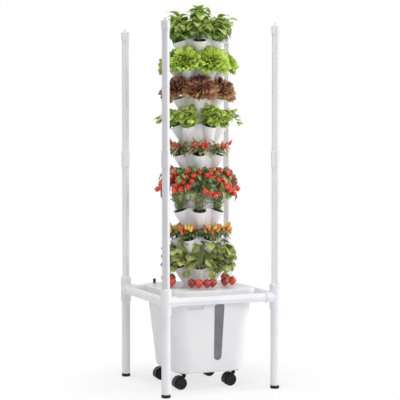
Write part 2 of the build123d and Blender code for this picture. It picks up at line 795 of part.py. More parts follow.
# Net cup, built once with its flange on the deck and its axis along the pocket
cup_low = -deck_drop - cup_len
with BuildPart() as net_cup:
    with BuildSketch(Plane.XZ):
        with BuildLine():
            Polyline(
                (0, cup_low),
                (cup_bottom_r, cup_low),
                (cup_mouth_r, -deck_drop),
                (cup_lip_r, -deck_drop),
                (cup_lip_r, cup_lip_t - deck_drop),
                (cup_mouth_r - cup_wall, cup_lip_t - deck_drop),
                (cup_bottom_r - cup_wall, cup_low + cup_wall),
                (0, cup_low + cup_wall),
                close=True,
            )
        make_face()
    revolve(axis=Axis.Z)
    with BuildSketch(Plane.XY.offset(-deck_drop - cup_slot_drop)):
        with PolarLocations(cup_mouth_r, cup_slots):
            Rectangle(2 * (cup_mouth_r - cup_bottom_r) + cup_slot_w, cup_slot_w)
    extrude(amount=-cup_slot_len, mode=Mode.SUBTRACT)

# Root plug of soil, filling the cup
soil_top = cup_lip_t - deck_drop - soil_drop
soil_low = cup_low + cup_wall + soil_gap
with BuildPart() as soil:
    with BuildSketch(Plane.XZ):
        with BuildLine():
            Polyline(
                (0, soil_low),
                (cup_bottom_r - cup_wall - soil_gap, soil_low),
                (cup_mouth_r - cup_wall - 2 * soil_gap, soil_top),
                (0, soil_top),
                close=True,
            )
        make_face()
    revolve(axis=Axis.Z)


def plant_crown(up, out, half):
    """A faceted crown above the first pocket, narrow in the soil, leaning out with its height."""
    sections = (
        (soil_top - stem_sink, 0, stem_r),
        (crown_low, 0, half * crown_low_share),
        (up * crown_mid_share, out * crown_mid_lean, half),
        (up, out, half * crown_top_share),
    )
    with BuildPart() as crown:
        for rise, lean, reach in sections:
            with BuildSketch(Plane.XY.offset(pocket_centre_h + rise)):
                with Locations((pocket_centre_r + lean, 0)):
                    RegularPolygon(reach, crown_sides)
        loft(ruled=True)
    return crown.part


def hanging_truss():
    """A narrow faceted prism outside the pocket, from the foliage down."""
    truss_x = pocket_centre_r + pocket_r + truss_gap + truss_r
    with BuildPart() as truss:
        with BuildSketch(Plane.XY.offset(pocket_centre_h - truss_drop)):
            with Locations((truss_x, 0)):
                RegularPolygon(truss_r, crown_sides)
        extrude(amount=truss_drop + truss_up)
    return truss.part


# Tower: tier 1 at the top, every second tier turned by half a pocket
kinds = (
    (basil_up, basil_out, basil_half),
    (lettuce_up, lettuce_out, lettuce_half),
    (red_lettuce_up, red_lettuce_out, red_lettuce_half),
    (mint_up, mint_out, mint_half),
    (chilli_up, chilli_out, chilli_half),
    (tomato_up, tomato_out, tomato_half),
    (rosemary_up, rosemary_out, rosemary_half),
    (orange_up, orange_out, orange_half),
    (strawberry_up, strawberry_out, strawberry_half),
)
for number, (up, out, half) in enumerate(kinds, start=1):
    level = tier_count - number
    turn = tower_turn + level % 2 * pocket_step / 2
    place = Location((0, 0, tower_base + level * tier_pitch), (0, 0, turn))
    hangs = number == tier_count
    crown_form = plant_crown(up, out, half)
    truss_form = hanging_truss()

    with BuildPart() as placed_tier:
        add(tier.part.moved(place))
    finish(placed_tier, f"tier_{number}")

    with BuildPart() as plant:
        add(soil.part.moved(pocket_planes[0].location))
        add(crown_form)
        if hangs:
            add(truss_form)

    with BuildPart() as net_cups:
        for plane in pocket_planes:
            add(net_cup.part.moved(place * plane.location))
    finish(net_cups, f"net_cups_{number}")

    with BuildPart() as plants:
        for step in range(pocket_count):
            add(plant.part.moved(place * Rotation(0, 0, step * pocket_step)))
    finish(plants, f"plants_{number}")
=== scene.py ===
import json
import math
import random
from functools import partial

import bmesh
import bpy
from mathutils import Matrix, Vector, noise


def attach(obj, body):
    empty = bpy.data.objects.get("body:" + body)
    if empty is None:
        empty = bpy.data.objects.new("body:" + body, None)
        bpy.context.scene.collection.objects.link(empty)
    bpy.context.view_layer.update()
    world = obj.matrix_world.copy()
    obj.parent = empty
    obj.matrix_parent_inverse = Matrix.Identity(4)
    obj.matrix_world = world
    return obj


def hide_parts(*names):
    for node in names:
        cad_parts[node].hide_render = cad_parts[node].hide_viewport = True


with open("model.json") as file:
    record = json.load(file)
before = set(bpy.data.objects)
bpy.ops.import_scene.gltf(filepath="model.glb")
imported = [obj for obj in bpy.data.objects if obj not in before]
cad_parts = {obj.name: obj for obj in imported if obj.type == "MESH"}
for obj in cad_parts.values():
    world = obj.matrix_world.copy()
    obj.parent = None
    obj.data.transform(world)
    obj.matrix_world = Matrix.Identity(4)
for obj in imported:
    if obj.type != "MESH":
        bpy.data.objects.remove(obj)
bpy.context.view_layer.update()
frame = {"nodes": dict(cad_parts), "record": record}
nodes = frame["nodes"]
scene = bpy.context.scene

# Sizes of the tower as the model has them, in metres
TIERS = 9
POCKETS = 6
PITCH = 0.1315  # from one tier's base to the next
TOWER_BASE = 0.4603  # height of the lowest tier's base
TOWER_TURN = math.radians(-110)  # heading of the lowest tier's first pocket
POCKET_STEP = math.tau / POCKETS
POCKET_TILT = math.radians(20)  # a pocket's axis leans outward
POCKET_R = 0.034  # at the rim
POCKET_SLOPE = 0.2476  # loss of radius down the axis
POCKET_OUT = 0.100  # from the tower's axis to the middle of a pocket's rim
POCKET_UP = 0.0996  # from a tier's base to that middle
DIP = 0.088  # height of the rim between two pockets
FOOT_R = 0.0724  # a tier's body where it laps over the neck below
RIM_R = 0.086  # the body at the dips
NECK_R = 0.069
LAP = 0.016
SOIL_UP = POCKET_UP - 0.004
SKIN = 0.002  # foliage keeps this far off a wall
# The painted shade on a lamp bar's back grows between these two reaches
BAR_SIDE_REACH = 0.5450  # x + y of a lamp bar's flat side
BAR_BACK_REACH = 0.5560  # x + y of its rounded back

# Pockets are counted from the front one. On a turned tier that is the right one of the two in front,
# and the last pocket is the left one.
FRONT = 0
LAST = POCKETS - 1


# Nodes

def feed(tree, socket, value):
    """Gives a socket a value, or a link from another socket."""
    if isinstance(value, bpy.types.NodeSocket):
        tree.links.new(value, socket)
    else:
        socket.default_value = value


def group_tree(name, inputs, outputs):
    """A new shader group with its named sockets."""
    tree = bpy.data.node_groups.new(name, "ShaderNodeTree")
    for label, kind in inputs:
        tree.interface.new_socket(label, in_out="INPUT", socket_type=kind)
    for label, kind in outputs:
        tree.interface.new_socket(label, in_out="OUTPUT", socket_type=kind)
    return tree, tree.nodes.new("NodeGroupInput"), tree.nodes.new("NodeGroupOutput")


def place_group(tree, group, values):
    """A group's node in a material, its inputs set by name."""
    node = tree.nodes.new("ShaderNodeGroup")
    node.node_tree = group
    for label, value in values.items():
        node.inputs[label].default_value = value
    return node


def math_node(tree, operation, first, second=None, clamp=False):
    """A math node; its inputs are sockets or numbers."""
    node = tree.nodes.new("ShaderNodeMath")
    node.operation = operation
    node.use_clamp = clamp
    for socket, value in zip(node.inputs, (first, second)):
        if value is not None:
            feed(tree, socket, value)
    return node.outputs[0]


def mix_node(tree, factor, first, second):
    """A colour mix; factor and colours are sockets or values."""
    node = tree.nodes.new("ShaderNodeMix")
    node.data_type = "RGBA"
    for label, value in (("Factor", factor), ("A", first), ("B", second)):
        feed(tree, next(s for s in node.inputs if s.name == label and s.enabled), value)
    return next(s for s in node.outputs if s.enabled)


def step_node(tree, value, low, high):
    """A smooth step of a value from 0 at low to 1 at high."""
    node = tree.nodes.new("ShaderNodeMapRange")
    node.interpolation_type = "SMOOTHSTEP"
    node.inputs["From Min"].default_value = low
    node.inputs["From Max"].default_value = high
    tree.links.new(value, node.inputs["Value"])
    return node.outputs["Result"]


def fade_node(tree, value, low, high):
    """A smooth step down, from 1 at low to 0 at high."""
    return math_node(tree, "SUBTRACT", 1.0, step_node(tree, value, low, high))


def noise_node(tree, scale, detail):
    """Noise on the piece's own coordinates."""
    place = tree.nodes.new("ShaderNodeTexCoord")
    node = tree.nodes.new("ShaderNodeTexNoise")
    node.inputs["Detail"].default_value = detail
    tree.links.new(place.outputs["Object"], node.inputs["Vector"])
    feed(tree, node.inputs["Scale"], scale)
    return node.outputs["Fac"]


def wander_node(tree, noise_value, amount):
    """Noise made to wander to both sides of 0."""
    return math_node(tree, "MULTIPLY", math_node(tree, "SUBTRACT", noise_value, 0.5), amount)


def named_value(tree, name):
    """A number stored on the mesh."""
    node = tree.nodes.new("ShaderNodeAttribute")
    node.attribute_name = name
    return node.outputs["Fac"]


def bump(tree, shader, height, distance, strength):
    """Feeds a height to the shader's normal."""
    node = tree.nodes.new("ShaderNodeBump")
    node.inputs["Distance"].default_value = distance
    node.inputs["Strength"].default_value = strength
    tree.links.new(height, node.inputs["Height"])
    tree.links.new(node.outputs["Normal"], shader.inputs["Normal"])


def color(levels):
    """An opaque colour from display values of 0 to 255."""
    def linear(value):
        share = value / 255
        return share / 12.92 if share <= 0.04045 else ((share + 0.055) / 1.055) ** 2.4
    return (*map(linear, levels), 1.0)


# Effects that many finishes share

COLOR, FLOAT = "NodeSocketColor", "NodeSocketFloat"


def moulded_skin():
    """Moulded plastic: faint patches in colour and gloss, and a fine grain."""
    tree, given, out = group_tree(
        "moulded_skin",
        [("Color", COLOR), ("Shade", COLOR), ("Patch Scale", FLOAT), ("Grain Scale", FLOAT),
         ("Gloss", FLOAT)],
        [("Color", COLOR), ("Roughness", FLOAT), ("Height", FLOAT)])
    patch = noise_node(tree, given.outputs["Patch Scale"], 4.0)
    grain = noise_node(tree, given.outputs["Grain Scale"], 2.0)
    patch_mask = step_node(tree, patch, 0.35, 0.75)
    patched = mix_node(tree, patch_mask, given.outputs["Color"], given.outputs["Shade"])
    gloss = math_node(tree, "ADD", given.outputs["Gloss"], wander_node(tree, patch, 0.16))
    tree.links.new(patched, out.inputs["Color"])
    tree.links.new(gloss, out.inputs["Roughness"])
    tree.links.new(grain, out.inputs["Height"])
    return tree


def leaf_tissue():
    """Leaf: a midrib and side veins, each leaf its own tone, a tinted margin."""
    tree, given, out = group_tree(
        "leaf_tissue",
        [("Deep", COLOR), ("Light", COLOR), ("Vein", COLOR), ("Margin", COLOR), ("Margin Deep", COLOR),
         ("Margin Share", FLOAT)],
        [("Color", COLOR), ("Height", FLOAT)])
    calc = partial(math_node, tree)
    across = calc("ABSOLUTE", named_value(tree, "across"))
    along = named_value(tree, "along")
    tone = named_value(tree, "tone")
    mottle = noise_node(tree, 60.0, 3.0)

    # Side veins leave the midrib at a slant, seven along a leaf
    vein_run = calc("SUBTRACT", calc("MULTIPLY", along, 7.0), calc("MULTIPLY", across, 2.0))
    vein_saw = calc("ABSOLUTE", calc("SUBTRACT", calc("FRACT", vein_run), 0.5))
    side_vein = calc("MULTIPLY", fade_node(tree, vein_saw, 0.02, 0.16), 0.45)
    veins = calc("MAXIMUM", fade_node(tree, across, 0.04, 0.16), side_vein)

    leaf_tone = calc("ADD", tone, wander_node(tree, mottle, 0.5), clamp=True)
    blade = mix_node(tree, leaf_tone, given.outputs["Deep"], given.outputs["Light"])
    ribbed = mix_node(tree, calc("MULTIPLY", veins, 0.55), blade, given.outputs["Vein"])

    # The margin shows most towards the tip and the sides, and more on dark leaves
    outward = step_node(tree, calc("ADD", along, calc("MULTIPLY", across, 0.35)), 0.25, 0.95)
    darkness = calc("SUBTRACT", 1.2, calc("MULTIPLY", tone, 0.7))
    share = calc("MULTIPLY", given.outputs["Margin Share"], darkness)
    margin = calc("MULTIPLY", outward, share, clamp=True)
    margin_color = mix_node(tree, tone, given.outputs["Margin Deep"], given.outputs["Margin"])
    tree.links.new(mix_node(tree, margin, ribbed, margin_color), out.inputs["Color"])
    tree.links.new(calc("SUBTRACT", calc("MULTIPLY", mottle, 0.4), veins), out.inputs["Height"])
    return tree


skin_group = moulded_skin()
leaf_group = leaf_tissue()


# Finishes, each kept under its name; colours are display values

finishes = {}


def new_finish(name):
    """A new material with one principled shader."""
    finish = bpy.data.materials.new(name)
    finish.use_nodes = True
    tree = finish.node_tree
    tree.nodes.clear()
    out = tree.nodes.new("ShaderNodeOutputMaterial")
    shader = tree.nodes.new("ShaderNodeBsdfPrincipled")
    tree.links.new(shader.outputs["BSDF"], out.inputs["Surface"])
    finishes[name] = finish
    return tree, shader


def plastic(name, base, shade, gloss, patch_scale=9.0, grain_scale=900.0,
            coat=0.0, specular=0.5, grain=0.08):
    """Moulded plastic of one colour."""
    tree, shader = new_finish(name)
    skin = place_group(tree, skin_group, {
        "Color": color(base), "Shade": color(shade), "Patch Scale": patch_scale, "Grain Scale": grain_scale,
        "Gloss": gloss})
    tree.links.new(skin.outputs["Color"], shader.inputs["Base Color"])
    tree.links.new(skin.outputs["Roughness"], shader.inputs["Roughness"])
    shader.inputs["Coat Weight"].default_value = coat
    shader.inputs["Specular IOR Level"].default_value = specular
    bump(tree, shader, skin.outputs["Height"], 0.0003, grain)
    return tree, shader, skin


def bar_plastic(name, back, shaded_back_patch, side):
    """Lamp bar plastic: pale sides, and a back greyed with painted shade, which is farthest from the tower's
    axis.
    """
    tree, shader, skin = plastic(name, back, shaded_back_patch, 0.38)
    place = tree.nodes.new("ShaderNodeTexCoord")
    axes = tree.nodes.new("ShaderNodeSeparateXYZ")
    tree.links.new(place.outputs["Object"], axes.inputs["Vector"])
    reach = math_node(tree, "ADD", math_node(tree, "ABSOLUTE", axes.outputs["X"]),
                      math_node(tree, "ABSOLUTE", axes.outputs["Y"]))
    # Painted shade: the back of each bar, farthest from the tower's axis, takes the greyer colour
    painted_shade_mask = step_node(tree, reach, BAR_SIDE_REACH, BAR_BACK_REACH)
    tree.links.new(mix_node(tree, painted_shade_mask, color(side), skin.outputs["Color"]), shader.inputs["Base Color"])


def leaf_skin(name, deep, light, vein, margin=(0, 0, 0), margin_deep=None, margin_share=0.0, gloss=0.42):
    """Leaf tissue in a plant's own colours; its margin can have a deeper colour on dark leaves."""
    tree, shader = new_finish(name)
    tissue = place_group(tree, leaf_group, {
        "Deep": color(deep), "Light": color(light), "Vein": color(vein), "Margin": color(margin),
        "Margin Deep": color(margin_deep or margin), "Margin Share": margin_share})
    tree.links.new(tissue.outputs["Color"], shader.inputs["Base Color"])
    shader.inputs["Roughness"].default_value = gloss
    bump(tree, shader, tissue.outputs["Height"], 0.0006, 0.35)


def fruit_skin(name, first, second, gloss, pits=0.0):
    """Fruit skin between two colours, each fruit its own tone, with seeds in pits where asked."""
    tree, shader = new_finish(name)
    ripe = math_node(tree, "ADD", named_value(tree, "tone"),
                     wander_node(tree, noise_node(tree, 45.0, 2.0), 0.8), clamp=True)
    skin = mix_node(tree, ripe, color(first), color(second))
    if pits:
        place = tree.nodes.new("ShaderNodeTexCoord")
        cells = tree.nodes.new("ShaderNodeTexVoronoi")
        cells.inputs["Scale"].default_value = 260.0
        tree.links.new(place.outputs["Object"], cells.inputs["Vector"])
        seed = fade_node(tree, cells.outputs["Distance"], 0.12, 0.3)
        skin = mix_node(tree, math_node(tree, "MULTIPLY", seed, 0.4), skin, color((225, 170, 80)))
        bump(tree, shader, step_node(tree, cells.outputs["Distance"], 0.1, 0.5), 0.0012, pits)
    tree.links.new(skin, shader.inputs["Base Color"])
    shader.inputs["Roughness"].default_value = gloss
    shader.inputs["Coat Weight"].default_value = 0.3


def soil_skin(name, dark, mid):
    """Damp growing mix, crumbs of two browns."""
    tree, shader = new_finish(name)
    crumbs = noise_node(tree, 320.0, 5.0)
    tree.links.new(mix_node(tree, step_node(tree, crumbs, 0.4, 0.72), color(dark), color(mid)),
                   shader.inputs["Base Color"])
    shader.inputs["Roughness"].default_value = 0.95
    bump(tree, shader, crumbs, 0.003, 0.9)


plastic("pipe_white", (243, 243, 246), (236, 236, 240), 0.32)
plastic("foot_black", (16, 16, 17), (26, 26, 27), 0.6, 60.0, 700.0, specular=0.3, grain=0.2)
# Painted shade: the lamp housing's back is greyer than its pale sides
bar_plastic("lamp_housing", (222, 222, 227), (216, 216, 222), (246, 246, 248))
plastic("lamp_diffuser", (242, 242, 244), (237, 237, 240), 0.3, 6.0, 700.0, grain=0.05)
plastic("lamp_board", (225, 225, 225), (205, 205, 205), 0.5)
# Painted shade: the lamp fitting's back is greyer than its pale sides
bar_plastic("lamp_fitting", (224, 224, 229), (218, 218, 224), (248, 248, 249))
plastic("tank_white", (243, 243, 244), (237, 237, 239), 0.36, 5.0, 600.0)
plastic("window_grey", (122, 121, 126), (108, 107, 112), 0.2, 14.0, 500.0, coat=0.4)
plastic("knob_black", (22, 22, 24), (34, 34, 36), 0.35, 60.0, 800.0)
plastic("caster_black", (12, 12, 13), (22, 22, 24), 0.42, 50.0, 900.0, specular=0.25, grain=0.15)
plastic("wheel_grey", (17, 17, 18), (28, 28, 30), 0.45, 50.0, 900.0, specular=0.25, grain=0.15)
plastic("pump_black", (34, 35, 38), (48, 49, 52), 0.5, 40.0, 800.0, grain=0.15)
plastic("riser_white", (230, 230, 230), (220, 220, 220), 0.4)
plastic("tier_white", (250, 249, 252), (245, 244, 248), 0.26, 8.0, 700.0, coat=0.15)
plastic("cup_black", (20, 20, 21), (33, 33, 34), 0.5, 60.0, 700.0, grain=0.2)
soil_skin("soil", (24, 18, 14), (96, 66, 44))
plastic("stem_green", (122, 150, 70), (92, 122, 52), 0.5, 40.0, 500.0, grain=0.3)
plastic("stem_dark", (74, 88, 44), (58, 66, 36), 0.55, 40.0, 500.0, grain=0.3)
plastic("stem_pale", (176, 184, 112), (150, 164, 92), 0.5, 40.0, 500.0, grain=0.3)
leaf_skin("basil_leaf", (86, 124, 42), (194, 216, 118), (206, 224, 146), gloss=0.34)
leaf_skin("lettuce_leaf", (46, 98, 8), (160, 200, 50), (206, 226, 120), (208, 232, 98), margin_share=0.75)
leaf_skin("red_leaf", (92, 66, 38), (255, 230, 160), (250, 210, 150), (234, 168, 112), (112, 44, 54), 0.85)
leaf_skin("mint_leaf", (80, 124, 20), (214, 236, 112), (220, 238, 142), gloss=0.36)
leaf_skin("chilli_leaf", (52, 74, 36), (250, 248, 178), (250, 246, 200), gloss=0.3)
leaf_skin("tomato_leaf", (60, 86, 42), (160, 180, 104), (178, 194, 130))
leaf_skin("rosemary_leaf", (122, 144, 82), (226, 232, 180), (232, 236, 196))
leaf_skin("orange_leaf", (46, 66, 30), (180, 190, 112), (190, 196, 136), gloss=0.32)
leaf_skin("berry_leaf", (84, 104, 36), (208, 216, 130), (220, 226, 158))
fruit_skin("chilli_fruit", (206, 30, 34), (232, 62, 48), gloss=0.2)
fruit_skin("orange_fruit", (224, 70, 18), (255, 226, 100), gloss=0.2)
fruit_skin("tomato_fruit", (208, 30, 24), (238, 84, 44), gloss=0.18)
fruit_skin("berry_fruit", (138, 6, 18), (240, 76, 46), gloss=0.22, pits=0.5)

# The model's own pieces take their finish from their slot. The plants' plain solids have none:
# the foliage below replaces them.
slot_of = {row["node"]: row["material_slot"] for row in frame["record"]["subparts"]}
for node_name, node in nodes.items():
    if slot_of[node_name] in finishes:
        node.data.materials.clear()
        node.data.materials.append(finishes[slot_of[node_name]])


# Leaf and fruit patterns, each made once and stamped many times

def keep_mesh(shape, name):
    """Ends a shape: outward faces, smooth shading, a mesh of its own."""
    bmesh.ops.remove_doubles(shape, verts=shape.verts[:], dist=0.00002)
    bmesh.ops.recalc_face_normals(shape, faces=shape.faces[:])
    for face in shape.faces:
        face.smooth = True
    mesh = bpy.data.meshes.new(name)
    shape.to_mesh(mesh)
    shape.free()
    return mesh


def leaf_blank(rows, columns):
    """A flat grid, and each vert with its side, -1 to 1, and its run from stalk to tip, stored on it too."""
    shape = bmesh.new()
    across_layer = shape.verts.layers.float.new("across")
    along_layer = shape.verts.layers.float.new("along")
    shape.verts.layers.float.new("tone")
    bmesh.ops.create_grid(shape, x_segments=columns, y_segments=rows, size=1.0)
    places = [(vert, vert.co.x, (vert.co.y + 1) / 2) for vert in shape.verts]
    for vert, side, run in places:
        vert[across_layer] = side
        vert[along_layer] = run
    return shape, places


LEAF_THICK = 0.012  # as a share of a leaf's length


def leaf_pattern(name, outline, rows, columns, fold, droop, ruffle=0.0, waves=0.0, thick=LEAF_THICK):
    """A leaf one unit long from the origin along +Y, its upper side to +Z."""
    shape, places = leaf_blank(rows, columns)
    for vert, side, run in places:
        half = outline(run)
        bend = droop * run
        reach = math.sin(bend) / droop
        drop = (1 - math.cos(bend)) / droop
        edge = abs(side)
        wave = ruffle * edge * edge * run * math.sin(waves * math.tau * run + (1.3 if side > 0 else 0.0))
        vert.co = (side * half, reach + 0.4 * wave, -drop + fold * edge * half + wave)
    bmesh.ops.remove_doubles(shape, verts=shape.verts[:], dist=0.0005)
    bmesh.ops.solidify(shape, geom=shape.faces[:], thickness=thick)
    return keep_mesh(shape, name)


def oval(width, widest):
    """A leaf outline that is widest at a share of its length."""
    power = math.log(0.5) / math.log(widest)

    def half(run):
        return max(0.0, width / 2 * math.sin(math.pi * min(1.0, run) ** power) ** 0.8 + 0.02 * (1 - run))
    return half


def frill_pattern(name, spread, waves, ruffle, lobe, droop, rows, columns):
    """A loose leaf one unit long from the origin along +Y, frilled along its round outer edge."""
    shape, places = leaf_blank(rows, columns)
    for vert, side, run in places:
        swing = math.sin(waves * math.pi * side + 0.6)
        reach = run * (1 - 0.25 * side * side) * (1 + lobe * run * swing)
        bend = droop * reach
        out = math.sin(bend) / droop
        wave = ruffle * run * run * math.cos(waves * math.pi * side)
        turn = spread * side * (0.35 + 0.65 * run)
        vert.co = (out * math.sin(turn) + 0.05 * side, out * math.cos(turn),
                   -(1 - math.cos(bend)) / droop + wave + 0.2 * reach * side * side)
    bmesh.ops.solidify(shape, geom=shape.faces[:], thickness=LEAF_THICK)
    return keep_mesh(shape, name)


def round_pattern(name, sides, rings, profile):
    """A fruit one unit tall, hung from the origin along -Z; profile gives its radius from stalk to tip."""
    shape = bmesh.new()
    shape.verts.layers.float.new("tone")
    bmesh.ops.create_uvsphere(shape, u_segments=sides, v_segments=rings, radius=1.0)
    for vert in shape.verts:
        run = math.acos(max(-1.0, min(1.0, vert.co.z))) / math.pi
        flat = math.hypot(vert.co.x, vert.co.y)
        turn = math.atan2(vert.co.y, vert.co.x)
        wide = profile(run) if flat > 0.0001 else 0.0
        vert.co = (wide * math.cos(turn), wide * math.sin(turn), -run)
    return keep_mesh(shape, name)


patterns = {
    "basil": leaf_pattern("basil_leaf", oval(0.70, 0.45), 6, 4, fold=0.30, droop=1.30,
                          ruffle=0.02, waves=2.0),
    "lettuce": frill_pattern("lettuce_leaf", 0.90, 4.5, ruffle=0.13, lobe=0.08, droop=0.75,
                             rows=4, columns=18),
    "red": frill_pattern("red_leaf", 0.80, 4.5, ruffle=0.16, lobe=0.22, droop=0.60,
                         rows=4, columns=18),
    "mint": leaf_pattern("mint_leaf", oval(0.74, 0.45), 5, 2, fold=0.25, droop=1.0),
    "narrow": leaf_pattern("narrow_leaf", oval(0.25, 0.42), 6, 2, fold=0.35, droop=1.3),
    "spear": leaf_pattern("spear_leaf", oval(0.24, 0.40), 4, 2, fold=0.35, droop=0.5),
    "needle": leaf_pattern("needle_leaf", oval(0.15, 0.5), 2, 2, fold=0.6, droop=0.35, thick=0.05),
    "leaflet": leaf_pattern("leaflet", oval(0.56, 0.42), 5, 2, fold=0.3, droop=1.1,
                            ruffle=0.05, waves=3.0),
    "round": leaf_pattern("round_leaf", oval(0.90, 0.52), 6, 4, fold=0.25, droop=0.8,
                          ruffle=0.03, waves=4.0),
    "chilli": round_pattern("chilli_fruit", 7, 6, lambda run: 0.23 * math.sin(math.pi * run ** 0.52)),
    "tomato": round_pattern("tomato_fruit", 9, 7, lambda run: 0.47 * math.sin(math.pi * run)),
    "berry": round_pattern("berry_fruit", 9, 7, lambda run: 0.47 * math.sin(math.pi * run ** 0.78) ** 0.8),
}


# Plants, set out from the middle of the soil in a pocket that faces +X

class Plant:
    """What one plant holds: stamped leaves, stamped fruit and the lines of its stalks."""

    def __init__(self, seed):
        self.dice = random.Random(seed)
        self.leaves = []
        self.fruit = []
        self.stalks = []
        self.lean = Matrix()

    def leaf(self, pattern, spot, heading, rise, length, roll=0.0, tone=None):
        """A leaf that sets off from a spot in a heading and at a rise."""
        turn = (Matrix.Rotation(heading - math.pi / 2, 4, "Z") @ Matrix.Rotation(rise, 4, "X")
                @ Matrix.Rotation(roll, 4, "Y"))
        place = self.lean @ Matrix.Translation(spot) @ turn @ Matrix.Scale(length, 4)
        self.leaves.append((pattern, place, self.dice.random() if tone is None else tone))

    def hang(self, pattern, spot, heading, tip, length, tone=None):
        """A fruit whose own axis is tipped towards a heading from hanging straight down."""
        turn = Matrix.Rotation(heading, 4, "Z") @ Matrix.Rotation(-tip, 4, "Y")
        place = Matrix.Translation(spot) @ turn @ Matrix.Scale(length, 4)
        self.fruit.append((pattern, place, self.dice.random() if tone is None else tone))

    def stalk(self, points, thick, thin):
        """A tapered stalk along a line of points."""
        self.stalks.append(([self.lean @ Vector(point) for point in points], thick, thin))

    def spread(self, low, high):
        """A number of the plant's own between two limits."""
        return self.dice.uniform(low, high)


GOLDEN = math.radians(137.5)  # from one leaf or stem to the next, as plants set them
QUARTER = math.pi / 2
ROOT_DEPTH = 0.006


def along_line(points, share):
    """The point at a share of a line's length."""
    lengths = [(b - a).length for a, b in zip(points, points[1:])]
    left = share * sum(lengths)
    for a, b, length in zip(points, points[1:], lengths):
        if left <= length:
            return a.lerp(b, left / length)
        left -= length
    return points[-1].copy()


def arch(root, heading, out, up, sag=0.0):
    """Four points of a stalk that rises from near the pocket's middle, leans over and sags at its end."""
    way = Vector((math.cos(heading), math.sin(heading), 0))
    start = way * root - Vector((0, 0, ROOT_DEPTH))
    return [
        start,
        start + way * out * 0.22 + Vector((0, 0, up * 0.5)),
        start + way * out * 0.6 + Vector((0, 0, up * 0.92)),
        start + way * out + Vector((0, 0, up - sag)),
    ]


def forward_share(heading):
    """1 for a heading out from the tower, 0 for one towards it."""
    return 0.5 + 0.5 * math.cos(heading)


def end_heading(line):
    """The heading in which a stalk ends."""
    end = line[-1] - line[-2]
    return math.atan2(end.y, end.x)


def basil(plant, number):
    """Stems with pairs of broad drooping leaves, the front plant the tallest."""
    tall = 0.146 if number == FRONT else plant.spread(0.104, 0.118)
    for stem in range(7):
        heading = stem * GOLDEN + plant.spread(-0.3, 0.3)
        out = plant.spread(0.014, 0.034) if stem else 0.004
        line = arch(0.004, heading, out, tall * plant.spread(0.52, 0.88) if stem else tall)
        plant.stalk(line, 0.0020, 0.0012)
        for level, share in enumerate((0.52, 0.75, 0.95)):
            for side in (0, math.pi):
                plant.leaf("basil", along_line(line, share),
                           heading + level * QUARTER + side + plant.spread(-0.4, 0.4),
                           rise=plant.spread(-0.15, 0.4),
                           length=plant.spread(0.058, 0.072) * (1 - 0.08 * level),
                           roll=plant.spread(-0.35, 0.35),
                           tone=0.2 + 0.22 * level + plant.spread(-0.1, 0.35))
        tips = 4 if stem else 9
        for leaf in range(tips):
            plant.leaf("basil", line[-1] - Vector((0, 0, 0.002 * leaf)), heading + leaf * GOLDEN,
                       rise=0.8 - leaf / tips + plant.spread(-0.2, 0.2), length=plant.spread(0.054, 0.076),
                       tone=plant.spread(0.5, 1.0))


HEAD_LEAN = math.radians(34)
SIDE_HEAD = 0.88  # size of the heads at the sides and the back


def lettuce(plant, number, pattern="lettuce", leaves=32, longest=0.091):
    """A loose round head that faces outward: close leaves in the middle, splayed ones outside."""
    plant.lean = Matrix.Rotation(HEAD_LEAN, 4, "Y")
    if FRONT < number < LAST:
        longest *= SIDE_HEAD
    for leaf in range(leaves):
        share = leaf / (leaves - 1)
        heading = leaf * GOLDEN + plant.spread(-0.2, 0.2)
        spot = Vector((0.012 * share * math.cos(heading), 0.014 * share * math.sin(heading),
                       0.026 + 0.016 * (1 - share)))
        full = longest * (0.74 + 0.26 * share - 0.16 * share * forward_share(heading))
        length = full * plant.spread(0.86, 1.1)
        plant.leaf(pattern, spot, heading,
                   rise=math.radians(84 - 62 * share) + plant.spread(-0.16, 0.16), length=length,
                   roll=plant.spread(-0.3, 0.3), tone=0.05 + 0.55 * share + plant.spread(-0.3, 0.4))


def red_lettuce(plant, number):
    """A loose head of lobed leaves."""
    lettuce(plant, number, "red", leaves=40, longest=0.081)


BUSH_LEAN = math.radians(12)


def mint(plant, number):
    """Many leafy stems that lean outward, and a long sprig at each side."""
    plant.lean = Matrix.Rotation(BUSH_LEAN, 4, "Y")
    stems = 23
    for stem in range(stems):
        heading = stem * GOLDEN + plant.spread(-0.4, 0.4)
        out = 0.010 + 0.040 * math.sqrt(stem / stems) * (0.75 + 0.35 * math.cos(heading))
        up = plant.spread(0.050, 0.116) * (1 - 0.26 * math.sin(heading) ** 2)
        line = arch(0.006, heading, out, up, plant.spread(0.0, 0.012))
        plant.stalk(line, 0.0014, 0.0008)
        for level, share in enumerate((0.35, 0.58, 0.80, 0.96)):
            for side in (0, math.pi):
                plant.leaf("mint", along_line(line, share),
                           heading + level * QUARTER + side + plant.spread(-0.4, 0.4),
                           rise=plant.spread(-0.5, 0.35), length=plant.spread(0.028, 0.040),
                           roll=plant.spread(-0.3, 0.3), tone=0.15 + 0.2 * level + plant.spread(-0.15, 0.3))
        plant.leaf("mint", line[-1], heading, rise=plant.spread(0.2, 0.9),
                   length=plant.spread(0.020, 0.028), tone=plant.spread(0.7, 1.0))
    for side in (-1, 1):
        heading = side * plant.spread(0.25, 0.9)
        line = arch(0.008, heading, plant.spread(0.062, 0.094), plant.spread(0.050, 0.108),
                    plant.spread(0.0, 0.034))
        plant.stalk(line, 0.0014, 0.0008)
        for share in (0.74, 0.90, 1.0):
            for way in (-1, 1):
                plant.leaf("mint", along_line(line, share), heading + way * plant.spread(0.6, 1.1),
                           rise=plant.spread(-0.4, 0.5), length=plant.spread(0.026, 0.036))


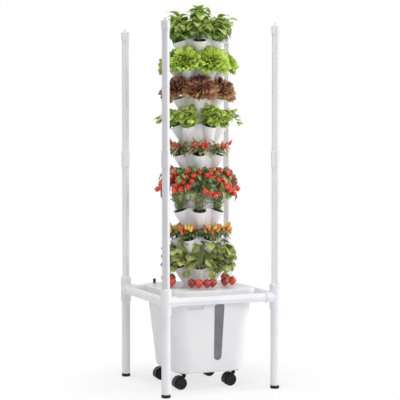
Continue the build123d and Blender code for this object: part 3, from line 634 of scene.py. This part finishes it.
def chilli_bush(plant, fruits, middle):
    """A small bush of narrow leaves, with pointed fruit that stand about a middle out from the pocket's."""
    for stem in range(11):
        heading = stem * GOLDEN + plant.spread(-0.3, 0.3)
        line = arch(0.004, heading, plant.spread(0.010, 0.028), plant.spread(0.028, 0.060))
        plant.stalk(line, 0.0016, 0.0010)
        for share in (0.5, 0.72, 0.95):
            plant.leaf("narrow", along_line(line, share), heading + plant.spread(-1.4, 1.4),
                       rise=plant.spread(-0.2, 0.7), length=plant.spread(0.040, 0.058),
                       roll=plant.spread(-0.4, 0.4), tone=plant.spread(0.1, 1.0))
        plant.leaf("spear", line[-1], heading + plant.spread(-0.5, 0.5), rise=plant.spread(0.4, 1.2),
                   length=plant.spread(0.034, 0.050), roll=plant.spread(-0.4, 0.4),
                   tone=plant.spread(0.1, 1.0))
    for leaf in range(9):  # dark leaves that arch out over the rim
        heading = plant.spread(-1.9, 1.9)
        spot = (0.010 * math.cos(heading), 0.010 * math.sin(heading), plant.spread(0.014, 0.040))
        plant.leaf("narrow", spot, heading, rise=plant.spread(0.0, 0.6), length=plant.spread(0.054, 0.072),
                   roll=plant.spread(-0.3, 0.3), tone=plant.spread(0.0, 0.3))
    for fruit in range(fruits):
        heading = fruit * GOLDEN
        out = 0.005 + 0.023 * math.sqrt(fruit / fruits)
        way = Vector((math.cos(heading), math.sin(heading), 0))
        spot = Vector((middle, 0, plant.spread(0.016, 0.050))) + way * out
        plant.stalk([spot - way * out * 0.5 - Vector((0, 0, 0.018)), spot], 0.0010, 0.0010)
        plant.hang("chilli", spot, heading, tip=math.pi - 0.05 - 22 * out - plant.spread(-0.3, 0.4),
                   length=plant.spread(0.030, 0.041))


def chilli(plant, number):
    """Red fruit, most of them on the front plant; the others bear theirs on the outer side."""
    if number == FRONT:
        chilli_bush(plant, fruits=12, middle=0.018)
    else:
        chilli_bush(plant, fruits=5, middle=0.036)


def orange_chilli(plant, number):
    """The same bush, full of orange and yellow fruit."""
    chilli_bush(plant, fruits=16, middle=0.022)


# Trusses of the tomato plants: where each sets off and ends, from the pocket's soil, and its number of fruit
RIGHT_TRUSSES = (
    ((0.024, -0.050, 0.068), (0.086, 0.078, -0.016), 13),
    ((0.030, 0.016, 0.076), (0.054, 0.052, 0.022), 6),
    ((0.052, -0.045, -0.020), (0.060, 0.002, -0.042), 5),
)
LEFT_TRUSSES = (
    ((0.040, 0.036, 0.068), (0.060, 0.016, -0.014), 7),
    ((0.036, -0.028, 0.060), (0.060, -0.018, -0.026), 7),
    ((0.020, -0.056, 0.066), (0.050, -0.062, 0.026), 5),
)


def tomato(plant, number):
    """Arching and hanging stalks with compound leaves, and trusses of round fruit over the rim."""
    for stem in range(31):
        heading = stem * GOLDEN + plant.spread(-0.3, 0.3)
        forward = forward_share(heading)
        rise = plant.spread(0.034, 0.086)
        hangs = stem % 3 > 0 and forward > 0.3
        sag = rise + plant.spread(0.005, 0.046) if hangs else plant.spread(0.0, 0.05) * forward
        line = arch(0.004, heading, 0.024 + 0.048 * forward * plant.spread(0.6, 1.0), rise, sag)
        plant.stalk(line, 0.0020, 0.0010)
        way = end_heading(line)
        size = plant.spread(0.030, 0.040)
        dip = 0.7 if hangs else 0.0
        for share in (0.45, 0.65, 0.85):
            for side in (-1, 1):
                plant.leaf("leaflet", along_line(line, share), way + side * plant.spread(0.9, 1.3),
                           rise=plant.spread(-0.6, 0.2) - dip * share,
                           length=size * plant.spread(0.75, 1.0), roll=plant.spread(-0.3, 0.3))
        plant.leaf("leaflet", line[-1], way, rise=plant.spread(-0.9, -0.1) - dip, length=size * 1.15)
    for start, end, fruits in LEFT_TRUSSES if number == LAST else RIGHT_TRUSSES:
        start, end = Vector(start), Vector(end)
        root = Vector((0.004, 0, -ROOT_DEPTH))
        plant.stalk([root, root.lerp(start, 0.6) + Vector((0, 0, 0.024)), start,
                     start.lerp(end, 0.5) + Vector((0.004, 0, 0.006)), end], 0.0015, 0.0010)
        for fruit in range(fruits):
            spot = start.lerp(end, fruit / (fruits - 1))
            way = (QUARTER if fruit % 2 else -QUARTER) + plant.spread(-0.6, 0.9)
            knot = spot + Vector((0.011 * math.cos(way), 0.011 * math.sin(way),
                                  plant.spread(-0.008, 0.006)))
            plant.stalk([spot, knot], 0.0009, 0.0009)
            plant.hang("tomato", knot, way, tip=plant.spread(0.1, 0.8), length=plant.spread(0.027, 0.034))
            for sepal in range(4):
                plant.leaf("needle", knot, way + sepal * QUARTER, rise=plant.spread(-0.2, 0.3),
                           length=0.013)


def rosemary(plant, number):
    """Upright twigs set all round with needles."""
    stems, needles = 12, 16
    for stem in range(stems):
        heading = stem * GOLDEN + plant.spread(-0.3, 0.3)
        out = 0.006 + 0.034 * math.sqrt(stem / stems) + 0.006 * math.cos(heading)
        line = arch(0.007, heading, out, plant.spread(0.046, 0.094))
        plant.stalk(line, 0.0014, 0.0008)
        for needle in range(needles):
            share = 0.16 + 0.84 * needle / (needles - 1)
            plant.leaf("needle", along_line(line, share), needle * GOLDEN + plant.spread(-0.2, 0.2),
                       rise=plant.spread(0.25, 0.85), length=plant.spread(0.018, 0.024),
                       tone=0.15 + 0.6 * share + plant.spread(-0.25, 0.35))


# Where the fruit of a strawberry plant hangs, along the rim and out from the pocket's middle, and its tone
FRONT_BERRIES = ((-0.038, 0.056, 0.2), (-0.005, 0.062, 0.75), (0.033, 0.060, 0.3), (0.062, 0.048, 0.25))
SIDE_BERRIES = ((-0.014, 0.052, 0.35), (0.026, 0.064, 0.8))
LEAFLET_TURNS = (-1.2, 0.0, 1.2)


def strawberry(plant, number):
    """Long stalks with three round leaflets, and fruit hanging past the pocket; the front plant is sparse."""
    stems = 24
    for stem in range(stems):
        heading = stem * GOLDEN + plant.spread(-0.3, 0.3)
        forward = forward_share(heading)
        if number == FRONT and forward > 0.6:
            continue
        line = arch(0.004, heading, 0.018 + 0.032 * forward + plant.spread(-0.006, 0.012),
                    0.022 + 0.112 * ((stem * 5) % stems) / stems, plant.spread(0.0, 0.010))
        plant.stalk(line, 0.0013, 0.0010)
        way = end_heading(line)
        for turn in LEAFLET_TURNS:
            plant.leaf("round", line[-1], way + turn, rise=plant.spread(-0.9, 0.2),
                       length=plant.spread(0.039, 0.052), roll=plant.spread(-0.4, 0.4))
    for side in (-1, 1) if number == FRONT else ():  # the front plant's leaves that hang beside its pocket
        heading = side * plant.spread(1.1, 1.3)
        line = arch(0.010, heading, 0.052, 0.026, plant.spread(0.024, 0.034))
        plant.stalk(line, 0.0013, 0.0010)
        for turn in LEAFLET_TURNS:
            plant.leaf("round", line[-1], heading + turn, rise=plant.spread(-1.1, -0.5),
                       length=plant.spread(0.034, 0.042))
    for side, out, tone in FRONT_BERRIES if number == FRONT else SIDE_BERRIES:
        low = Vector((out + plant.spread(-0.004, 0.004), side, plant.spread(-0.047, -0.044)))
        rim = Vector((0.042, side * 0.5, 0.006))
        plant.stalk([(0.004, 0, -0.004), rim * 0.5 + Vector((0, 0, 0.014)), rim,
                     low.lerp(rim, 0.4) + Vector((0.006, 0, 0)), low], 0.0012, 0.0010)
        plant.hang("berry", low, math.atan2(side, out), tip=plant.spread(-0.2, 0.2),
                   length=plant.spread(0.043, 0.0455), tone=tone)
        for sepal in range(6):
            plant.leaf("narrow", low, sepal * math.tau / 6, rise=plant.spread(0.1, 0.7), length=0.018,
                       tone=plant.spread(0.3, 0.9))


# From the top tier down: name, how it grows, and the finishes of its leaves, stalks and fruit
KINDS = (
    ("basil", basil, "basil_leaf", "stem_green", None),
    ("lettuce", lettuce, "lettuce_leaf", None, None),
    ("red_lettuce", red_lettuce, "red_leaf", None, None),
    ("mint", mint, "mint_leaf", "stem_green", None),
    ("chilli", chilli, "chilli_leaf", "stem_dark", "chilli_fruit"),
    ("tomato", tomato, "tomato_leaf", "stem_green", "tomato_fruit"),
    ("rosemary", rosemary, "rosemary_leaf", "stem_dark", None),
    ("orange_chilli", orange_chilli, "orange_leaf", "stem_dark", "orange_fruit"),
    ("strawberry", strawberry, "berry_leaf", "stem_pale", "berry_fruit"),
)


# Growing the tiers

def wall_step(spot, height, first_turn):
    """Moves a point out of a tier's body and pockets, height counted from that tier's base."""
    flat = Vector((spot.x, spot.y))
    climb = max(0.0, min(1.0, (height - LAP) / (DIP - LAP)))
    body = FOOT_R + climb * (RIM_R - FOOT_R) + SKIN
    if flat.length < body:
        flat = flat.normalized() * body if flat.length > 0.001 else Vector((body, 0))
    down = (POCKET_UP - height) / math.cos(POCKET_TILT)
    middle = POCKET_OUT - down * math.sin(POCKET_TILT)
    reach = POCKET_R - POCKET_SLOPE * down + SKIN
    if reach > 0:
        nearest = round((math.atan2(flat.y, flat.x) - first_turn) / POCKET_STEP) * POCKET_STEP + first_turn
        lobe = Vector((middle * math.cos(nearest), middle * math.sin(nearest)))
        away = flat - lobe
        if away.length < reach:
            away = away if away.length > 0.001 else lobe
            flat = lobe + away.normalized() * reach
    spot.x, spot.y = flat.x, flat.y


def keep_clear(spot, top_tier):
    """Moves a point of the foliage out of its own tier below the rim and out of the tier above."""
    if spot.z < DIP - SKIN:
        wall_step(spot, spot.z, 0.0)
    elif spot.z > PITCH - SKIN and not top_tier:
        wall_step(spot, min(spot.z - PITCH, POCKET_UP), POCKET_STEP / 2)
    elif spot.z > POCKET_UP and math.hypot(spot.x, spot.y) < NECK_R + SKIN:
        scale = (NECK_R + SKIN) / max(0.001, math.hypot(spot.x, spot.y))
        spot.x *= scale
        spot.y *= scale


def add_placed(bed, mesh, place):
    """Adds a mesh to a bed at a place, and gives the verts that it added."""
    start = len(bed.verts)
    bed.from_mesh(mesh)
    bed.verts.ensure_lookup_table()
    fresh = bed.verts[start:]
    bmesh.ops.transform(bed, matrix=place, verts=fresh)
    return fresh


def stamp_all(stamps, top_tier):
    """One mesh of stamped patterns, above the pocket that faces +X."""
    bed = bmesh.new()
    tone_layer = bed.verts.layers.float.new("tone")
    bed.verts.layers.float.new("across")
    bed.verts.layers.float.new("along")
    for pattern, place, tone in stamps:
        for vert in add_placed(bed, patterns[pattern], place):
            vert[tone_layer] = tone
    bmesh.ops.translate(bed, vec=(POCKET_OUT, 0, SOIL_UP), verts=bed.verts[:])
    for vert in bed.verts:
        keep_clear(vert.co, top_tier)
    mesh = bpy.data.meshes.new("stamped")
    bed.to_mesh(mesh)
    bed.free()
    return mesh


def stalk_mesh(stalks):
    """Tapered round stalks swept along their lines."""
    data = bpy.data.curves.new("stalks", "CURVE")
    data.dimensions = "3D"
    data.bevel_depth = 1.0
    data.bevel_resolution = 0
    data.resolution_u = 3
    data.use_fill_caps = True
    for points, thick, thin in stalks:
        spline = data.splines.new("NURBS")
        spline.points.add(len(points) - 1)
        for index, (point, held) in enumerate(zip(spline.points, points)):
            point.co = (held.x + POCKET_OUT, held.y, held.z + SOIL_UP, 1.0)
            point.radius = thick + (thin - thick) * index / (len(points) - 1)
        spline.order_u = min(3, len(points))
        spline.use_endpoint_u = True
    holder = bpy.data.objects.new("stalks", data)
    mesh = bpy.data.meshes.new_from_object(holder)
    bpy.data.objects.remove(holder)
    bpy.data.curves.remove(data)
    return mesh


PLUG_TOP_R = 0.0232
PLUG_FOOT_R = 0.0148
PLUG_DEPTH = 0.042


def soil_mesh(seed):
    """A crumbled plug of soil in the cup, its top rough."""
    shape = bmesh.new()
    bmesh.ops.create_cone(shape, cap_ends=True, cap_tris=False, segments=18, radius1=PLUG_FOOT_R,
                          radius2=PLUG_TOP_R, depth=PLUG_DEPTH)
    crown = max(shape.faces, key=lambda face: face.calc_center_median().z)
    for thick in (0.005, 0.006, 0.006):
        bmesh.ops.inset_region(shape, faces=[crown], thickness=thick)
    top = max(vert.co.z for vert in shape.verts)
    for vert in shape.verts:
        if vert.co.z > top - 0.001:
            middle = 1 - math.hypot(vert.co.x, vert.co.y) / PLUG_TOP_R
            vert.co.z += 0.004 * middle + 0.0035 * noise.noise(vert.co * 150 + Vector((seed, 0, 0)))
    place = Matrix.Translation((POCKET_OUT, 0, SOIL_UP)) @ Matrix.Rotation(POCKET_TILT, 4, "Y")
    bmesh.ops.translate(shape, vec=(0, 0, -top), verts=shape.verts[:])
    bmesh.ops.transform(shape, matrix=place, verts=shape.verts[:])
    return keep_mesh(shape, "soil_plug")


def add_piece(name, bed, finish, body, node):
    """A finished piece that rides on a tier and stands for its plants."""
    mesh = bpy.data.meshes.new(name)
    for face in bed.faces:
        face.smooth = True
    bed.to_mesh(mesh)
    bed.free()
    mesh.materials.append(finishes[finish])
    piece = bpy.data.objects.new(name, mesh)
    scene.collection.objects.link(piece)
    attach(piece, body)
    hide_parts(node)


for tier, (kind, grow, leaf_finish, stalk_finish, fruit_finish) in enumerate(KINDS, start=1):
    level = TIERS - tier
    tier_turn = TOWER_TURN + level % 2 * POCKET_STEP / 2
    top_tier = tier == 1
    used = {"leaves": leaf_finish, "stalks": stalk_finish, "fruit": fruit_finish, "soil": "soil"}
    beds = {part: bmesh.new() for part, finish in used.items() if finish}
    for number in range(POCKETS):
        plant = Plant(100 * tier + number)
        grow(plant, number)
        place = (Matrix.Translation((0, 0, TOWER_BASE + level * PITCH))
                 @ Matrix.Rotation(tier_turn + number * POCKET_STEP, 4, "Z"))
        parts = {"leaves": stamp_all(plant.leaves, top_tier), "soil": soil_mesh(7 * number + tier)}
        if stalk_finish:
            parts["stalks"] = stalk_mesh(plant.stalks)
        if fruit_finish:
            parts["fruit"] = stamp_all(plant.fruit, top_tier)
        for part, mesh in parts.items():
            add_placed(beds[part], mesh, place)
            bpy.data.meshes.remove(mesh)
    for part, bed in beds.items():
        add_piece(f"{kind}_{part}", bed, used[part], f"tier_{tier}", f"plants_{tier}")


# Stage: a pale floor that fades into a white background

def seen_node(tree):
    """1 for what the camera, a reflection or a clear material sees, 0 for light that bounces."""
    path = tree.nodes.new("ShaderNodeLightPath")
    mirrored = math_node(tree, "MAXIMUM", path.outputs["Is Camera Ray"], path.outputs["Is Glossy Ray"])
    return math_node(tree, "MAXIMUM", mirrored, path.outputs["Is Transmission Ray"])


def join_shaders(tree, share, first, second, out):
    """Mixes two shaders by a share into an output."""
    mix = tree.nodes.new("ShaderNodeMixShader")
    tree.links.new(share, mix.inputs["Fac"])
    tree.links.new(first.outputs[0], mix.inputs[1])
    tree.links.new(second.outputs[0], mix.inputs[2])
    tree.links.new(mix.outputs["Shader"], out.inputs["Surface"])


FLOOR_HALF = 9.0
FLOOR_NEAR = 0.32  # the white starts to grow this far out
FLOOR_FAR = 0.75  # and is full here
FLOOR_GLOW = 0.68  # share of white under the object; the rest is matt and shows the shadow
SKY_FILL = 0.35

floor_bed = bmesh.new()
bmesh.ops.create_grid(floor_bed, x_segments=1, y_segments=1, size=FLOOR_HALF)
floor_mesh = bpy.data.meshes.new("floor")
floor_bed.to_mesh(floor_mesh)
floor_bed.free()
floor = bpy.data.objects.new("floor", floor_mesh)
scene.collection.objects.link(floor)

floor_pale = bpy.data.materials.new("floor_pale")
floor_pale.use_nodes = True
floor_tree = floor_pale.node_tree
floor_tree.nodes.clear()
floor_matt = floor_tree.nodes.new("ShaderNodeBsdfDiffuse")
floor_matt.inputs["Color"].default_value = (0.9, 0.9, 0.9, 1.0)
floor_white = floor_tree.nodes.new("ShaderNodeEmission")
floor_place = floor_tree.nodes.new("ShaderNodeTexCoord")
floor_reach = floor_tree.nodes.new("ShaderNodeVectorMath")
floor_reach.operation = "LENGTH"
floor_tree.links.new(floor_place.outputs["Object"], floor_reach.inputs[0])
floor_far = step_node(floor_tree, floor_reach.outputs["Value"], FLOOR_NEAR, FLOOR_FAR)
floor_share = math_node(floor_tree, "ADD", FLOOR_GLOW,
                        math_node(floor_tree, "MULTIPLY", floor_far, 1 - FLOOR_GLOW))
join_shaders(floor_tree, math_node(floor_tree, "MULTIPLY", seen_node(floor_tree), floor_share),
             floor_matt, floor_white, floor_tree.nodes.new("ShaderNodeOutputMaterial"))
floor_mesh.materials.append(floor_pale)

scene.view_settings.view_transform = "Standard"
scene.world = bpy.data.worlds.new("studio")
scene.world.use_nodes = True
sky = scene.world.node_tree
sky.nodes.clear()
sky_soft = sky.nodes.new("ShaderNodeBackground")
sky_soft.inputs["Color"].default_value = (0.99, 0.99, 1.0, 1.0)
sky_soft.inputs["Strength"].default_value = SKY_FILL
sky_white = sky.nodes.new("ShaderNodeBackground")
sky_white.inputs["Color"].default_value = (1.0, 1.0, 1.0, 1.0)
join_shaders(sky, seen_node(sky), sky_soft, sky_white, sky.nodes.new("ShaderNodeOutputWorld"))


def soft_lamp(name, spot, aim, size, power):
    """A large square lamp that faces a point."""
    lamp = bpy.data.lights.new(name, "AREA")
    lamp.size = size
    lamp.energy = power
    holder = bpy.data.objects.new(name, lamp)
    holder.location = spot
    holder.rotation_euler = (Vector(aim) - Vector(spot)).to_track_quat("-Z", "Y").to_euler()
    scene.collection.objects.link(holder)


soft_lamp("front_lamp", (1.4, -5.0, 2.2), (0, 0, 0.9), 1.8, 66.0)
soft_lamp("side_lamp", (4.8, -1.4, 2.4), (0, 0, 0.9), 2.2, 104.0)
soft_lamp("fill_lamp", (-4.6, 1.6, 2.0), (0, 0, 0.9), 3.0, 28.0)
soft_lamp("top_lamp", (-0.9, -0.9, 8.0), (0, 0, 0.8), 2.2, 245.0)

# Camera at the photograph's view, with the frame 400 pixels wide
FRAME_WIDE = 400
FOCAL = 1140.5  # in pixels
SENSOR = 36.0
VIEW_YAW = math.radians(22.8)
VIEW_PITCH = math.radians(2.37)
VIEW_DISTANCE = 5.396
VIEW_HEIGHT = 1.088
lens = bpy.data.cameras.new("view")
lens.sensor_width = SENSOR
lens.lens = FOCAL * SENSOR / FRAME_WIDE
lens.shift_x = 1.6 / FRAME_WIDE
lens.shift_y = 0.6 / FRAME_WIDE
eye = bpy.data.objects.new("view", lens)
eye.location = (-VIEW_DISTANCE * math.sin(VIEW_YAW), -VIEW_DISTANCE * math.cos(VIEW_YAW), VIEW_HEIGHT)
eye.rotation_euler = (math.pi / 2 - VIEW_PITCH, 0, -VIEW_YAW)
scene.collection.objects.link(eye)
scene.camera = eye
